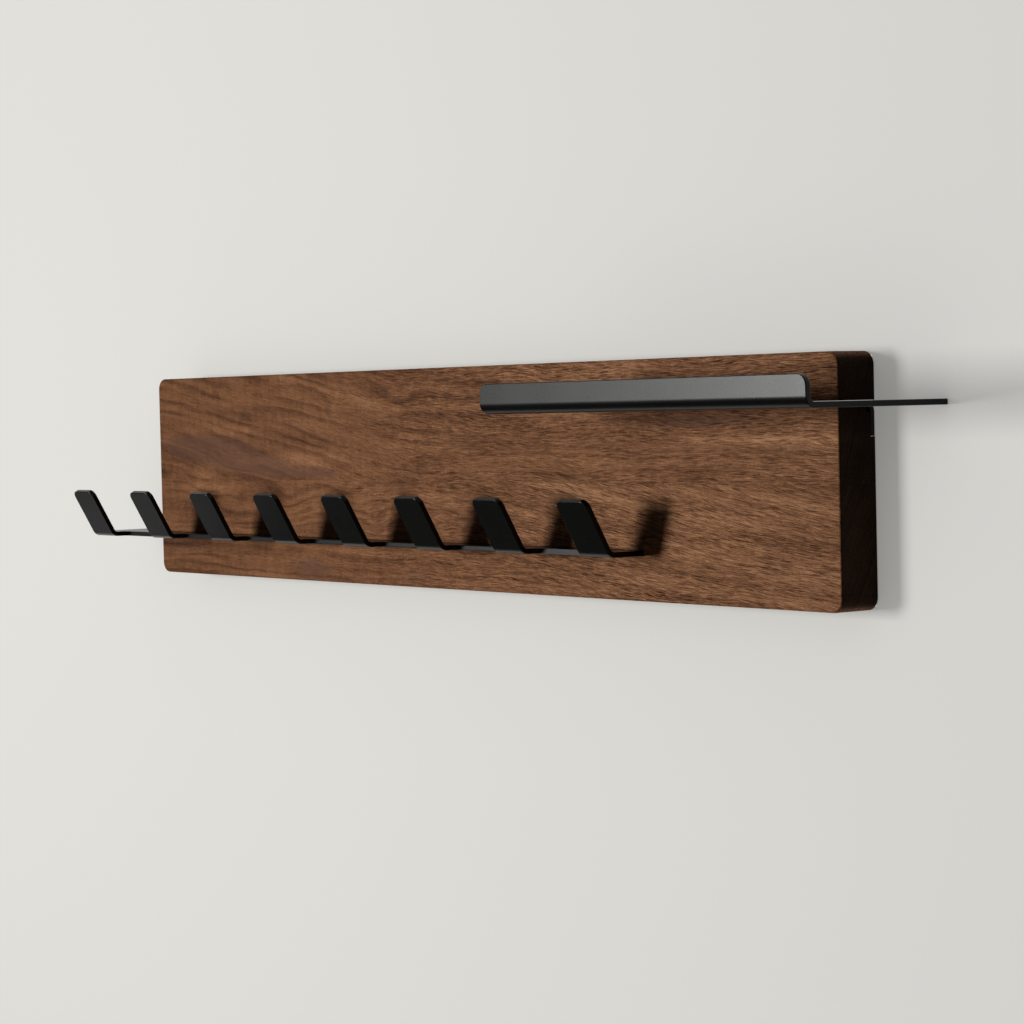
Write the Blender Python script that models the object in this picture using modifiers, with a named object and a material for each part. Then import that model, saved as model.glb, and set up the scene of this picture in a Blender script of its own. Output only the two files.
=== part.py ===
"""Wall hook rack: a walnut board that carries a bent steel hook strip and a bent steel shelf.

Metres. +X runs right along the wall, -Y points into the room, +Z is up.
The origin is the centre of the board's back face, which lies against the wall.
"""

import math

import bmesh
import bpy
from mathutils import Matrix, Vector

# Board, edge-glued from two staves
BOARD_LENGTH = 0.6604
BOARD_HEIGHT = 0.131
BOARD_THICKNESS = 0.0254
BOARD_CORNER_RADIUS = 0.007
BOARD_EASED_EDGE = 0.0012
GLUE_LINE_Z = -0.0018
GAP = 0.0003
EDGE_TOLERANCE = 1e-6

# Sheet steel, shared by the hook strip and the shelf
STEEL = 0.003
INNER_BEND_RADIUS = 0.003
STRIP_Z = -0.03935
SHELF_Z = 0.0391
OVERHANG = 0.0508
WALL_CLEARANCE = 0.0005
PLATE_CORNER_RADIUS = 0.001
FLANGE_HEIGHT = 0.018
FLANGE_SETBACK = 0.0001
FLANGE_CORNER_RADIUS = 0.002
RELIEF_WIDTH = 0.002
RELIEF_DEPTH = 0.003

# Hook strip
HOOK_COUNT = 8
HOOK_PITCH = 0.0762
HOOK_WIDTH = 0.0254
HOOK_BEND_ANGLE = math.radians(61)
HOOK_LENGTH = 0.03525
HOOK_CORNER_REACH = 0.0234
HOOK_TIP_RADIUS = 0.0045
WEB_REACH = 0.0136
WEB_FILLET = 0.003

# Shelf
SHELF_LENGTH = 0.254
SHELF_REACH = 0.0956
LIP_HEIGHT = 0.0164
LIP_BEND_ANGLE = math.radians(90)
LIP_CORNER_RADIUS = 0.006

# Screws that hold each flange to the board
FLANGE_SCREW_RADIUS = 0.0021
FLANGE_SCREW_HEAD_RADIUS = 0.0041
FLANGE_SCREW_LENGTH = 0.016
STRIP_SCREW_COUNT = 7
SHELF_SCREW_COUNT = 3
SCREW_END_MARGIN = 0.018

# Countersunk wood screws, as shares of their length or radius
HEAD_RIM = 0.0003
HEAD_SETBACK = 0.0001
THREAD_TURNS = 9
THREAD_CORE_SHARE = 0.78
THREAD_RISE_SHARE = 0.35
THREAD_END_SHARE = 0.7
RECESS_WIDTH_SHARE = 0.24
RECESS_DEPTH_SHARE = 0.9

# Keyhole hangers, one for each wall screw
HANGER_SPACING = 0.4064
HANGER_WIDTH = 0.044
HANGER_HEIGHT = 0.018
HANGER_STEEL = 0.0016
HANGER_BOTTOM_Z = 0.0005
HANGER_CORNER_RADIUS = 0.003
HANGER_SETBACK = 0.0004
KEYHOLE_RADIUS = 0.00425
KEYHOLE_SLOT_RADIUS = 0.0022
KEYHOLE_ENTRY_HEIGHT = 0.0053
KEYHOLE_SLOT_HEIGHT = 0.0120
HEAD_POCKET_WIDTH = 0.013
HEAD_POCKET_DEPTH = 0.009
HANGER_SCREW_RADIUS = 0.00155
HANGER_SCREW_HEAD_RADIUS = 0.0030
HANGER_SCREW_LENGTH = 0.012
HANGER_SCREW_INSET = 0.0055

# Facets
CORNER_STEPS = 4
BEND_STEPS = 4
SCREW_SIDES = 12
EASED_EDGE_STEPS = 2
SHARP_ANGLE = math.radians(30)
FLAT_ANGLE = 0.001
CUTTER_MARGIN = 0.004

BOARD_END = BOARD_LENGTH / 2
RACK_END = BOARD_END + OVERHANG
STRIP_END = -RACK_END + HOOK_WIDTH + (HOOK_COUNT - 1) * HOOK_PITCH
SHELF_START = RACK_END - SHELF_LENGTH
MID_BEND_RADIUS = INNER_BEND_RADIUS + STEEL / 2
OUTER_BEND_RADIUS = INNER_BEND_RADIUS + STEEL
FLANGE_BEND_Y = -FLANGE_SETBACK - OUTER_BEND_RADIUS
RELIEF_ROOT_Y = FLANGE_BEND_Y - RELIEF_DEPTH
HANGER_MID_Z = HANGER_BOTTOM_Z + HANGER_HEIGHT / 2


def clear_scene():
    for scene_object in list(bpy.data.objects):
        bpy.data.objects.remove(scene_object, do_unlink=True)


def collection(name, hidden=False):
    made = bpy.data.collections.new(name)
    made.hide_render = hidden
    bpy.context.scene.collection.children.link(made)
    return made


def material(name, colour, roughness, metallic=0.0):
    made = bpy.data.materials.new(name)
    made.use_nodes = True
    shader = made.node_tree.nodes["Principled BSDF"]
    shader.inputs["Base Color"].default_value = (*colour, 1.0)
    shader.inputs["Roughness"].default_value = roughness
    shader.inputs["Metallic"].default_value = metallic
    made.diffuse_color = (*colour, 1.0)
    return made


def place(name, mesh, target, look=None):
    """Puts a mesh in a collection as an object of its own."""
    made = bpy.data.objects.new(name, mesh)
    target.objects.link(made)
    if look:
        mesh.materials.clear()
        mesh.materials.append(look)
    return made


def from_bmesh(name, cage, target, look=None):
    mesh = bpy.data.meshes.new(name)
    bmesh.ops.recalc_face_normals(cage, faces=cage.faces)
    cage.to_mesh(mesh)
    cage.free()
    return place(name, mesh, target, look)


def as_cutter(cutter):
    cutter.hide_render = True
    cutter.display_type = "WIRE"
    return cutter


def cut(piece, cutter, solver="EXACT"):
    boolean = piece.modifiers.new(cutter.name, "BOOLEAN")
    boolean.operation = "DIFFERENCE"
    boolean.solver = solver
    boolean.object = cutter


def rounded_outline(corners):
    """Outline points from (x, y, radius) corners; each radius above zero becomes an arc."""
    points = []
    for index, (x, y, radius) in enumerate(corners):
        here = Vector((x, y))
        before = Vector(corners[index - 1][:2]) - here
        after = Vector(corners[(index + 1) % len(corners)][:2]) - here
        if radius == 0:
            points.append(here)
            continue
        half_angle = before.angle(after) / 2
        inward = (before.normalized() + after.normalized()).normalized()
        centre = here + inward * radius / math.sin(half_angle)
        first = here + before.normalized() * radius / math.tan(half_angle) - centre
        last = here + after.normalized() * radius / math.tan(half_angle) - centre
        sweep = first.angle_signed(last)
        for step in range(CORNER_STEPS + 1):
            turned = first.copy()
            turned.rotate(Matrix.Rotation(-sweep * step / CORNER_STEPS, 2))
            points.append(centre + turned)
    return points


def extruded_outline(name, outlines, thickness, target, look=None):
    """Flat solid of the given outlines in the XY plane, centred on z = 0, as a mesh object.

    The first outline is the outside and the others are holes in it.
    """
    curve = bpy.data.curves.new(name, "CURVE")
    curve.dimensions = "2D"
    curve.fill_mode = "BOTH"
    curve.extrude = thickness / 2
    for outline in outlines:
        spline = curve.splines.new("POLY")
        spline.points.add(len(outline) - 1)
        for point, (x, y) in zip(spline.points, outline):
            point.co = (x, y, 0.0, 1.0)
        spline.use_cyclic_u = True
    guide = bpy.data.objects.new(name + "_outline", curve)
    bpy.context.scene.collection.objects.link(guide)
    bpy.context.view_layer.update()
    graph = bpy.context.evaluated_depsgraph_get()
    mesh = bpy.data.meshes.new_from_object(guide.evaluated_get(graph))
    mesh.name = name
    bpy.data.objects.remove(guide, do_unlink=True)
    bpy.data.curves.remove(curve)
    cage = bmesh.new()
    cage.from_mesh(mesh)
    bmesh.ops.remove_doubles(cage, verts=cage.verts, dist=EDGE_TOLERANCE)
    bmesh.ops.recalc_face_normals(cage, faces=cage.faces)
    cage.to_mesh(mesh)
    cage.free()
    return place(name, mesh, target, look)


def turned_profile(name, profile, sides, target, look=None):
    """Solid turned about Z from (radius, z) points that run from the top of the axis to its foot."""
    mesh = bpy.data.meshes.new(name)
    points = [(radius, 0.0, z) for radius, z in profile]
    mesh.from_pydata(points, [(i, i + 1) for i in range(len(points) - 1)], [])
    piece = place(name, mesh, target, look)
    screw = piece.modifiers.new("Turn", "SCREW")
    screw.steps = sides
    screw.render_steps = sides
    screw.use_merge_vertices = True
    screw.merge_threshold = EDGE_TOLERANCE
    screw.use_smooth_shade = True
    screw.use_normal_calculate = True
    return piece


def box(name, low, high, target):
    cage = bmesh.new()
    bmesh.ops.create_cube(cage, size=1.0)
    low, high = Vector(low), Vector(high)
    bmesh.ops.scale(cage, vec=high - low, verts=cage.verts)
    bmesh.ops.translate(cage, vec=(low + high) / 2, verts=cage.verts)
    return from_bmesh(name, cage, target)


def merge_flat_faces(piece):
    """Joins the triangles of each flat face, so that a Boolean meets one clean face."""
    cage = bmesh.new()
    cage.from_mesh(piece.data)
    bmesh.ops.dissolve_limit(cage, angle_limit=FLAT_ANGLE, verts=cage.verts, edges=cage.edges)
    cage.to_mesh(piece.data)
    cage.free()


def shade(piece):
    piece.data.shade_smooth()
    piece.data.set_sharp_from_angle(angle=SHARP_ANGLE)


def bend(piece, start_y, towards, turn, angle, x_range):
    """Bends sheet metal about a line along X.

    The flat sheet lies on z = 0. Beyond start_y in the direction towards (-1 front, +1 back) it turns
    up (turn = 1) or down (turn = -1), with an inner radius of INNER_BEND_RADIUS.
    """
    arc_length = MID_BEND_RADIUS * angle
    cage = bmesh.new()
    cage.from_mesh(piece.data)
    for step in range(BEND_STEPS + 1):
        line_y = start_y + towards * arc_length * step / BEND_STEPS
        bmesh.ops.bisect_plane(
            cage,
            geom=cage.verts[:] + cage.edges[:] + cage.faces[:],
            dist=EDGE_TOLERANCE / 10,
            plane_co=(0.0, line_y, 0.0),
            plane_no=(0.0, 1.0, 0.0),
        )
    for vertex in cage.verts:
        run = (vertex.co.y - start_y) * towards
        if run <= 0 or not x_range[0] <= vertex.co.x <= x_range[1]:
            continue
        turned = min(run, arc_length) / MID_BEND_RADIUS
        straight = max(run - arc_length, 0.0)
        radius = MID_BEND_RADIUS - vertex.co.z * turn
        forward = radius * math.sin(turned) + straight * math.cos(angle)
        rise = MID_BEND_RADIUS - radius * math.cos(turned) + straight * math.sin(angle)
        vertex.co.y = start_y + towards * forward
        vertex.co.z = turn * rise
    bmesh.ops.recalc_face_normals(cage, faces=cage.faces)
    cage.to_mesh(piece.data)
    cage.free()


def flange_corners(flange_start, flange_end):
    """Blank corners at the free edge of a back flange, from its low-x side to its high-x side."""
    free_y = FLANGE_BEND_Y + FLANGE_HEIGHT - OUTER_BEND_RADIUS + MID_BEND_RADIUS * math.pi / 2
    return [(x, free_y, FLANGE_CORNER_RADIUS) for x in (flange_start, flange_end)]


def flange_screw_places(flange_start, flange_end, count):
    first = flange_start + SCREW_END_MARGIN
    last = flange_end - SCREW_END_MARGIN
    return [first + (last - first) * index / (count - 1) for index in range(count)]


def make_hook_strip(parts, look):
    """Hook strip: flat blank with hook tabs in front and a flange behind, then bent."""
    back_y = -WALL_CLEARANCE
    web_y = -BOARD_THICKNESS - WEB_REACH
    tangent = OUTER_BEND_RADIUS * math.tan(HOOK_BEND_ANGLE / 2)
    bend_y = -BOARD_THICKNESS - HOOK_CORNER_REACH + tangent
    tip_y = bend_y - MID_BEND_RADIUS * HOOK_BEND_ANGLE - (HOOK_LENGTH - tangent)
    flange_start = -BOARD_END + GAP
    flange = flange_corners(flange_start, STRIP_END)

    corners = [(-RACK_END, back_y, PLATE_CORNER_RADIUS)]
    for index in range(HOOK_COUNT):
        left = -RACK_END + index * HOOK_PITCH
        right = left + HOOK_WIDTH
        if index > 0:
            corners.append((left, web_y, WEB_FILLET))
        corners.append((left, tip_y, HOOK_TIP_RADIUS))
        corners.append((right, tip_y, HOOK_TIP_RADIUS))
        if index < HOOK_COUNT - 1:
            corners.append((right, web_y, WEB_FILLET))
    corners.append(flange[1])
    corners.append(flange[0])
    corners.append((flange_start, RELIEF_ROOT_Y, 0))
    corners.append((flange_start - RELIEF_WIDTH, RELIEF_ROOT_Y, 0))
    corners.append((flange_start - RELIEF_WIDTH, back_y, 0))

    strip = extruded_outline("hook_strip", [rounded_outline(corners)], STEEL, parts, look)
    bend(strip, bend_y, -1, 1, HOOK_BEND_ANGLE, (-RACK_END - GAP, STRIP_END + GAP))
    bend(strip, FLANGE_BEND_Y, 1, 1, math.pi / 2, (flange_start - GAP, STRIP_END + GAP))
    strip.data.transform(Matrix.Translation((0.0, 0.0, STRIP_Z)))
    merge_flat_faces(strip)
    shade(strip)
    return strip


def make_shelf(parts, look):
    """Shelf: flat blank with a lip in front and a flange behind, then bent."""
    back_y = -WALL_CLEARANCE
    bend_y = -SHELF_REACH + OUTER_BEND_RADIUS
    tip_y = bend_y - MID_BEND_RADIUS * LIP_BEND_ANGLE - (LIP_HEIGHT - OUTER_BEND_RADIUS)
    flange_end = BOARD_END - GAP
    flange = flange_corners(SHELF_START, flange_end)

    corners = [
        (SHELF_START, tip_y, LIP_CORNER_RADIUS),
        (RACK_END, tip_y, LIP_CORNER_RADIUS),
        (RACK_END, back_y, PLATE_CORNER_RADIUS),
        (flange_end + RELIEF_WIDTH, back_y, 0),
        (flange_end + RELIEF_WIDTH, RELIEF_ROOT_Y, 0),
        (flange_end, RELIEF_ROOT_Y, 0),
        flange[1],
        flange[0],
    ]
    shelf = extruded_outline("shelf", [rounded_outline(corners)], STEEL, parts, look)
    bend(shelf, bend_y, -1, 1, LIP_BEND_ANGLE, (SHELF_START - GAP, RACK_END + GAP))
    bend(shelf, FLANGE_BEND_Y, 1, -1, math.pi / 2, (SHELF_START - GAP, flange_end + GAP))
    shelf.data.transform(Matrix.Translation((0.0, 0.0, SHELF_Z)))
    merge_flat_faces(shelf)
    shade(shelf)
    return shelf


def make_stave(name, low_z, high_z, low_radius, high_radius, parts, look):
    """Board stave: its outline in the wall plane, extruded through the board, with eased outer edges."""
    corners = [
        (-BOARD_END, low_z, low_radius),
        (BOARD_END, low_z, low_radius),
        (BOARD_END, high_z, high_radius),
        (-BOARD_END, high_z, high_radius),
    ]
    stave = extruded_outline(name, [rounded_outline(corners)], BOARD_THICKNESS, parts, look)
    upright = Matrix.Translation((0.0, -BOARD_THICKNESS / 2, 0.0)) @ Matrix.Rotation(math.pi / 2, 4, "X")
    stave.data.transform(upright)
    merge_flat_faces(stave)
    glued_z = high_z if low_radius else low_z
    cage = bmesh.new()
    cage.from_mesh(stave.data)
    eased = [
        edge
        for edge in cage.edges
        if all(abs(vertex.co.y + BOARD_THICKNESS) < EDGE_TOLERANCE for vertex in edge.verts)
        and not all(abs(vertex.co.z - glued_z) < EDGE_TOLERANCE for vertex in edge.verts)
    ]
    bmesh.ops.bevel(
        cage,
        geom=eased,
        offset=BOARD_EASED_EDGE,
        segments=EASED_EDGE_STEPS,
        profile=0.5,
        affect="EDGES",
        clamp_overlap=True,
    )
    bmesh.ops.recalc_face_normals(cage, faces=cage.faces)
    cage.to_mesh(stave.data)
    cage.free()
    shade(stave)
    return stave


def cut_plate_slot(stave, plate_z, turn, low_x, high_x, cutters):
    """Cuts the slot for a plate and the rebate for its flange, both open at the board's end."""
    half_slot = STEEL / 2 + GAP
    slot = box(
        stave.name + "_slot",
        (low_x, -BOARD_THICKNESS - CUTTER_MARGIN, plate_z - half_slot),
        (high_x, CUTTER_MARGIN, plate_z + half_slot),
        cutters,
    )
    cut(stave, as_cutter(slot))
    bend_reach = OUTER_BEND_RADIUS + FLANGE_SETBACK + GAP
    heel_z = plate_z + turn * (OUTER_BEND_RADIUS - STEEL / 2)
    heel = box(
        stave.name + "_bend_room",
        (low_x, -bend_reach, min(plate_z, heel_z)),
        (high_x, CUTTER_MARGIN, max(plate_z, heel_z)),
        cutters,
    )
    cut(stave, as_cutter(heel))
    far_z = plate_z + turn * (FLANGE_HEIGHT - STEEL / 2 + GAP)
    rebate = box(
        stave.name + "_rebate",
        (low_x, -STEEL - FLANGE_SETBACK - GAP, min(plate_z, far_z)),
        (high_x, CUTTER_MARGIN, max(plate_z, far_z)),
        cutters,
    )
    cut(stave, as_cutter(rebate))


def drill(piece, name, x, z, radius, mouth_y, depth, cutters):
    """Drills a blind round hole from the back, along Y."""
    reach = depth + CUTTER_MARGIN
    cage = bmesh.new()
    bmesh.ops.create_cone(
        cage, cap_ends=True, segments=SCREW_SIDES, radius1=radius, radius2=radius, depth=reach
    )
    bmesh.ops.rotate(cage, matrix=Matrix.Rotation(math.pi / 2, 3, "X"), verts=cage.verts)
    bmesh.ops.translate(cage, vec=(x, mouth_y + CUTTER_MARGIN - reach / 2, z), verts=cage.verts)
    cut(piece, as_cutter(from_bmesh(name, cage, cutters)))


def screw_head_depth(radius, head_radius):
    return head_radius - radius + HEAD_RIM


def screw_profile(radius, head_radius, length):
    """Countersunk wood screw: flat head at z = 0, cone, threaded shank with ridges, point."""
    head_depth = screw_head_depth(radius, head_radius)
    core_radius = radius * THREAD_CORE_SHARE
    ridge_pitch = length / THREAD_TURNS
    profile = [(0.0, 0.0), (head_radius, 0.0), (head_radius, -HEAD_RIM), (core_radius, -head_depth)]
    z = -head_depth - ridge_pitch
    while z > -length + 2 * ridge_pitch:
        profile.append((core_radius, z))
        profile.append((radius, z - ridge_pitch * THREAD_RISE_SHARE))
        z -= ridge_pitch
    profile.append((radius * THREAD_END_SHARE, z))
    profile.append((0.0, -length))
    return profile


def make_screw(name, x, z, face_y, radius, head_radius, length, parts, cutters, look):
    """Countersunk wood screw driven from the back, with a cross recess in its head."""
    screw = turned_profile(name, screw_profile(radius, head_radius, length), SCREW_SIDES, parts, look)
    facing_back = Matrix.Translation((x, face_y, z)) @ Matrix.Rotation(-math.pi / 2, 4, "X")
    screw.matrix_world = facing_back
    slot_depth = screw_head_depth(radius, head_radius) * RECESS_DEPTH_SHARE
    slot_width = head_radius * RECESS_WIDTH_SHARE
    for arm, width, height in (("wide", head_radius, slot_width), ("tall", slot_width, head_radius)):
        half = Vector((width, height, slot_depth)) / 2
        slot = box(f"{name}_{arm}_slot", -half, half, cutters)
        slot.matrix_world = facing_back
        cut(screw, as_cutter(slot))


def countersink(piece, name, x, z, face_y, thickness, radius, head_radius, cutters):
    """Screw hole with a countersink, cut from the back face at face_y through a plate."""
    hole = radius + GAP
    mouth = head_radius + GAP
    profile = [
        (0.0, CUTTER_MARGIN),
        (mouth, CUTTER_MARGIN),
        (mouth, -HEAD_RIM),
        (hole, -(mouth - hole) - HEAD_RIM),
        (hole, -thickness - CUTTER_MARGIN / 2),
        (0.0, -thickness - CUTTER_MARGIN / 2),
    ]
    cutter = turned_profile(name, profile, SCREW_SIDES, cutters)
    cutter.matrix_world = Matrix.Translation((x, face_y, z)) @ Matrix.Rotation(-math.pi / 2, 4, "X")
    cut(piece, as_cutter(cutter), solver="MANIFOLD")


def fasten_flange(plate, stave, prefix, places, plate_z, turn, parts, cutters, look):
    """Screws a plate's back flange to its stave."""
    screw_z = plate_z + turn * (FLANGE_HEIGHT / 2 + STEEL / 2)
    face_y = -FLANGE_SETBACK
    for number, x in enumerate(places, start=1):
        name = f"{prefix}_screw_{number}"
        countersink(
            plate,
            name + "_sink",
            x,
            screw_z,
            face_y,
            STEEL,
            FLANGE_SCREW_RADIUS,
            FLANGE_SCREW_HEAD_RADIUS,
            cutters,
        )
        drill(
            stave,
            name + "_pilot",
            x,
            screw_z,
            FLANGE_SCREW_RADIUS + GAP,
            face_y,
            FLANGE_SCREW_LENGTH + GAP,
            cutters,
        )
        make_screw(
            name,
            x,
            screw_z,
            face_y - HEAD_SETBACK,
            FLANGE_SCREW_RADIUS,
            FLANGE_SCREW_HEAD_RADIUS,
            FLANGE_SCREW_LENGTH,
            parts,
            cutters,
            look,
        )


def keyhole_outline():
    """Round entry at the bottom, narrow slot with a round end above it."""
    entry_z = HANGER_BOTTOM_Z + KEYHOLE_ENTRY_HEIGHT
    slot_z = HANGER_BOTTOM_Z + KEYHOLE_SLOT_HEIGHT
    neck = math.asin(KEYHOLE_SLOT_RADIUS / KEYHOLE_RADIUS)
    points = []
    entry_steps = 4 * CORNER_STEPS
    for step in range(entry_steps + 1):
        angle = math.pi / 2 + neck + (2 * math.pi - 2 * neck) * step / entry_steps
        points.append((KEYHOLE_RADIUS * math.cos(angle), entry_z + KEYHOLE_RADIUS * math.sin(angle)))
    slot_steps = 2 * CORNER_STEPS
    for step in range(slot_steps + 1):
        angle = math.pi * step / slot_steps
        rise = KEYHOLE_SLOT_RADIUS * math.sin(angle)
        points.append((KEYHOLE_SLOT_RADIUS * math.cos(angle), slot_z + rise))
    return points


def make_hanger(side, x, stave, parts, cutters, plate_look, screw_look):
    """Keyhole hanger let into the board's back, with room for the wall screw's head behind it."""
    name = f"hanger_{side}"
    half_width = HANGER_WIDTH / 2
    top_z = HANGER_BOTTOM_Z + HANGER_HEIGHT
    outline = rounded_outline(
        [
            (-half_width, HANGER_BOTTOM_Z, HANGER_CORNER_RADIUS),
            (half_width, HANGER_BOTTOM_Z, HANGER_CORNER_RADIUS),
            (half_width, top_z, HANGER_CORNER_RADIUS),
            (-half_width, top_z, HANGER_CORNER_RADIUS),
        ]
    )
    plate = extruded_outline(name, [outline, keyhole_outline()], HANGER_STEEL, parts, plate_look)
    upright = Matrix.Rotation(math.pi / 2, 4, "X")
    plate.data.transform(Matrix.Translation((x, -HANGER_SETBACK - HANGER_STEEL / 2, 0.0)) @ upright)
    shade(plate)

    recess_y = -HANGER_SETBACK - HANGER_STEEL - GAP
    recess = box(
        name + "_recess",
        (x - half_width - GAP, recess_y, HANGER_BOTTOM_Z - GAP),
        (x + half_width + GAP, CUTTER_MARGIN, top_z + GAP),
        cutters,
    )
    cut(stave, as_cutter(recess))
    pocket = box(
        name + "_pocket",
        (x - HEAD_POCKET_WIDTH / 2, recess_y - HEAD_POCKET_DEPTH, HANGER_BOTTOM_Z + GAP),
        (x + HEAD_POCKET_WIDTH / 2, CUTTER_MARGIN, top_z - GAP),
        cutters,
    )
    cut(stave, as_cutter(pocket))
    for end, turn in (("left", -1), ("right", 1)):
        screw_x = x + turn * (half_width - HANGER_SCREW_INSET)
        screw_name = f"{name}_screw_{end}"
        countersink(
            plate,
            screw_name + "_sink",
            screw_x,
            HANGER_MID_Z,
            -HANGER_SETBACK,
            HANGER_STEEL,
            HANGER_SCREW_RADIUS,
            HANGER_SCREW_HEAD_RADIUS,
            cutters,
        )
        drill(
            stave,
            screw_name + "_pilot",
            screw_x,
            HANGER_MID_Z,
            HANGER_SCREW_RADIUS + GAP,
            -HANGER_SETBACK,
            HANGER_SCREW_LENGTH + GAP,
            cutters,
        )
        make_screw(
            screw_name,
            screw_x,
            HANGER_MID_Z,
            -HANGER_SETBACK - HEAD_SETBACK,
            HANGER_SCREW_RADIUS,
            HANGER_SCREW_HEAD_RADIUS,
            HANGER_SCREW_LENGTH,
            parts,
            cutters,
            screw_look,
        )


def main():
    clear_scene()
    parts = collection("wall_hook_rack")
    cutters = collection("cutters", hidden=True)

    walnut = material("oiled_walnut", (0.190, 0.098, 0.054), 0.5)
    powder_coat = material("black_powder_coat", (0.018, 0.018, 0.018), 0.45)
    zinc = material("zinc_plated_steel", (0.60, 0.60, 0.58), 0.35, 1.0)
    hanger_steel = material("bright_steel", (0.50, 0.50, 0.49), 0.4, 1.0)

    half_height = BOARD_HEIGHT / 2
    upper_low_z = GLUE_LINE_Z + GAP / 2
    lower_high_z = GLUE_LINE_Z - GAP / 2
    corner = BOARD_CORNER_RADIUS
    stave_upper = make_stave("stave_upper", upper_low_z, half_height, 0, corner, parts, walnut)
    stave_lower = make_stave("stave_lower", -half_height, lower_high_z, corner, 0, parts, walnut)

    hook_strip = make_hook_strip(parts, powder_coat)
    shelf = make_shelf(parts, powder_coat)
    cut_plate_slot(stave_lower, STRIP_Z, 1, -BOARD_END - CUTTER_MARGIN, STRIP_END + GAP, cutters)
    cut_plate_slot(stave_upper, SHELF_Z, -1, SHELF_START - GAP, BOARD_END + CUTTER_MARGIN, cutters)

    strip_places = flange_screw_places(-BOARD_END, STRIP_END, STRIP_SCREW_COUNT)
    fasten_flange(hook_strip, stave_lower, "strip", strip_places, STRIP_Z, 1, parts, cutters, zinc)
    shelf_places = flange_screw_places(SHELF_START, BOARD_END, SHELF_SCREW_COUNT)
    fasten_flange(shelf, stave_upper, "shelf", shelf_places, SHELF_Z, -1, parts, cutters, zinc)

    for side, turn in (("left", -1), ("right", 1)):
        make_hanger(side, turn * HANGER_SPACING / 2, stave_upper, parts, cutters, hanger_steel, zinc)


main()
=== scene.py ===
"""Looks of the wall hook rack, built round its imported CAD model.

Metres, in the CAD model's frame: +X right along the wall, -Y into the room, +Z up, wall at y = 0.
The materials count in millimetres.
"""

import math
from contextlib import contextmanager

import bmesh
import bpy
from mathutils import Matrix, Vector


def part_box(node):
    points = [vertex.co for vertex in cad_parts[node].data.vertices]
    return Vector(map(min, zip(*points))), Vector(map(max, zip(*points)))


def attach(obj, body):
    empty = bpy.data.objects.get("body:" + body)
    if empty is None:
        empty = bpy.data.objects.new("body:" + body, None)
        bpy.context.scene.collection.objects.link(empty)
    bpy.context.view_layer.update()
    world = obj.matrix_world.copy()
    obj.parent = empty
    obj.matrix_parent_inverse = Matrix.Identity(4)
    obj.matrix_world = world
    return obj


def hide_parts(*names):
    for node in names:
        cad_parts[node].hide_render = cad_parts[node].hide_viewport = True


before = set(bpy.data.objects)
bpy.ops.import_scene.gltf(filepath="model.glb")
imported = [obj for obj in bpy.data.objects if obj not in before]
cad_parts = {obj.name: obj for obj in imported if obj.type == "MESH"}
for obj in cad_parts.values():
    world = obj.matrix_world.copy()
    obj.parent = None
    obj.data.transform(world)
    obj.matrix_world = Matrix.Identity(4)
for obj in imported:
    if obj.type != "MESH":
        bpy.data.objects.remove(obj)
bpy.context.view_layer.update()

# Facets
CORNER_STEPS = 10
BEND_STEPS = 12
EASED_EDGE_STEPS = 5
COAT_EDGE_STEPS = 3
HANGER_EDGE_STEPS = 2
SCREW_SIDES = 32
CUTTER_MARGIN = 0.004
BEND_MARGIN = 0.0001
SAME_PLACE = 1e-6
ON_THE_LINE = SAME_PLACE / 10
FLAT_ANGLE = 0.001
ROUNDED_EDGE_ANGLE = math.radians(50)
SHARP_ANGLE = math.radians(35)
SHARP_ANGLE_WHEN_ROUNDED = math.radians(89)
SCREW_SHARP_ANGLE = math.radians(30)
FLAT_FACE_WEIGHT = 100

# Turns of what is drawn flat in XY, or turned about Z
QUARTER_TURN = math.pi / 2
UPRIGHT = Matrix.Rotation(QUARTER_TURN, 4, "X")
FACING_BACK = Matrix.Rotation(-QUARTER_TURN, 4, "X")

# Sheet steel
STEEL = 0.003
INNER_BEND_RADIUS = 0.003
MID_BEND_RADIUS = INNER_BEND_RADIUS + STEEL / 2
OUTER_BEND_RADIUS = INNER_BEND_RADIUS + STEEL
COAT_EDGE_RADIUS = 0.00042
PLATE_CORNER_RADIUS = 0.001
FLANGE_HEIGHT = 0.018
FLANGE_SETBACK = 0.0001
FLANGE_CORNER_RADIUS = 0.002
FLANGE_BEND_Y = -FLANGE_SETBACK - OUTER_BEND_RADIUS
FLANGE_FREE_Y = FLANGE_BEND_Y + FLANGE_HEIGHT - OUTER_BEND_RADIUS + MID_BEND_RADIUS * QUARTER_TURN
RELIEF_WIDTH = 0.002
RELIEF_DEPTH = 0.003
RELIEF_ROOT_Y = FLANGE_BEND_Y - RELIEF_DEPTH

# Hook strip
HOOK_COUNT = 8
HOOK_PITCH = 0.0762
HOOK_WIDTH = 0.0254
HOOK_BEND_ANGLE = math.radians(61)
HOOK_LENGTH = 0.03525
HOOK_CORNER_REACH = 0.0234
HOOK_TIP_RADIUS = 0.0045
WEB_REACH = 0.0136
WEB_FILLET = 0.003

# Shelf
LIP_HEIGHT = 0.0164
LIP_BEND_ANGLE = QUARTER_TURN
LIP_CORNER_RADIUS = 0.006

# Board
BOARD_CORNER_RADIUS = 0.007
BOARD_EASED_EDGE = 0.0012
BOARD_BACK_EASE = 0.0005
GLUE_JOINT = 0.00006
SLOT_CLEARANCE = 0.00015
SLOT_HALF_HEIGHT = STEEL / 2 + SLOT_CLEARANCE
SLOT_RUNOUT = 0.0001
BEND_ROOM_Y = -OUTER_BEND_RADIUS - FLANGE_SETBACK - SLOT_RUNOUT
REBATE_Y = -STEEL - FLANGE_SETBACK - SLOT_RUNOUT
HANGER_RECESS_CLEARANCE = 0.0003
HEAD_POCKET_WIDTH = 0.013
HEAD_POCKET_DEPTH = 0.009

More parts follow.
